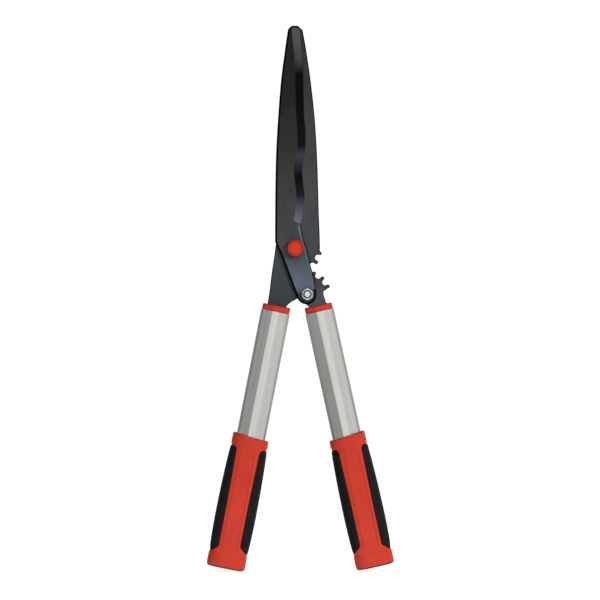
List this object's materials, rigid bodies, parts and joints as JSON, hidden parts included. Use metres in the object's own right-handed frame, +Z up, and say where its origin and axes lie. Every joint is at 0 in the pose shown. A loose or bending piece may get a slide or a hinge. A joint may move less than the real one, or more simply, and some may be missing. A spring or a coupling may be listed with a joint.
{
  "type": "geared hedge shears",
  "caption": "Hedge shears with overlapping wavy-edged blades, a geared right handle hinged on the front blade's tang, oval metal tubes and moulded grips with soft pads.",
  "frame": {"origin": "centre of the flat front face of the pivot cap, on the axis of the main pivot", "axes": "+Z up along the closed blades, +X to the right as seen from the front, +Y from front to back; the cap's face looks along -Y"},
  "size_m": [0.1965, 0.0328, 0.5727],
  "materials": {
    "coated_steel": "dark non-stick coating, satin",
    "bright_steel": "bright zinc plate",
    "dark_steel": "dark oxide",
    "bronze": "sintered, oiled",
    "anodised": "satin anodised",
    "red_plastic": "moulded, satin gloss",
    "black_rubber": "soft matt",
    "nylon": "moulded"
  },
  "bodies": {
    "left_half": {"rear_blade": "coated_steel", "left_ferrule": "red_plastic", "left_tang_pin": "bright_steel", "left_tube": "anodised", "left_grip_shell": "red_plastic", "left_grip_pad_outer": "black_rubber", "left_grip_pad_inner": "black_rubber"},
    "front_half": {"front_blade": "coated_steel", "pivot_bush": "bronze", "pivot_bolt": "dark_steel", "pivot_washer": "bright_steel", "pivot_spring_washer": "dark_steel", "pivot_nut": "bright_steel", "pivot_cap": "red_plastic", "gear_bush": "bronze", "gear_bolt": "bright_steel", "gear_washer": "bright_steel", "gear_lock_washer": "dark_steel", "gear_nut": "bright_steel", "gear_nut_insert": "nylon"},
    "right_handle": {"gear_plate": "coated_steel", "right_ferrule": "red_plastic", "right_tang_pin": "bright_steel", "right_tube": "anodised", "right_grip_shell": "red_plastic", "right_grip_pad_outer": "black_rubber", "right_grip_pad_inner": "black_rubber"}
  },
  "joints": [
    {"name": "blade_pivot", "type": "hinge", "parent": "left_half", "child": "front_half", "pos_m": [0, 0.011, 0], "axis": [0, -1, 0], "range_deg": [0, 50]},
    {"name": "handle_gear_pivot", "type": "hinge", "parent": "front_half", "child": "right_handle", "pos_m": [0.0127, 0.011, -0.0483], "axis": [0, -1, 0], "range_deg": [0, 57.2]}
  ],
  "couplings": [
    {"joint": "handle_gear_pivot", "follows": "blade_pivot", "ratio": 1.1429}
  ]
}
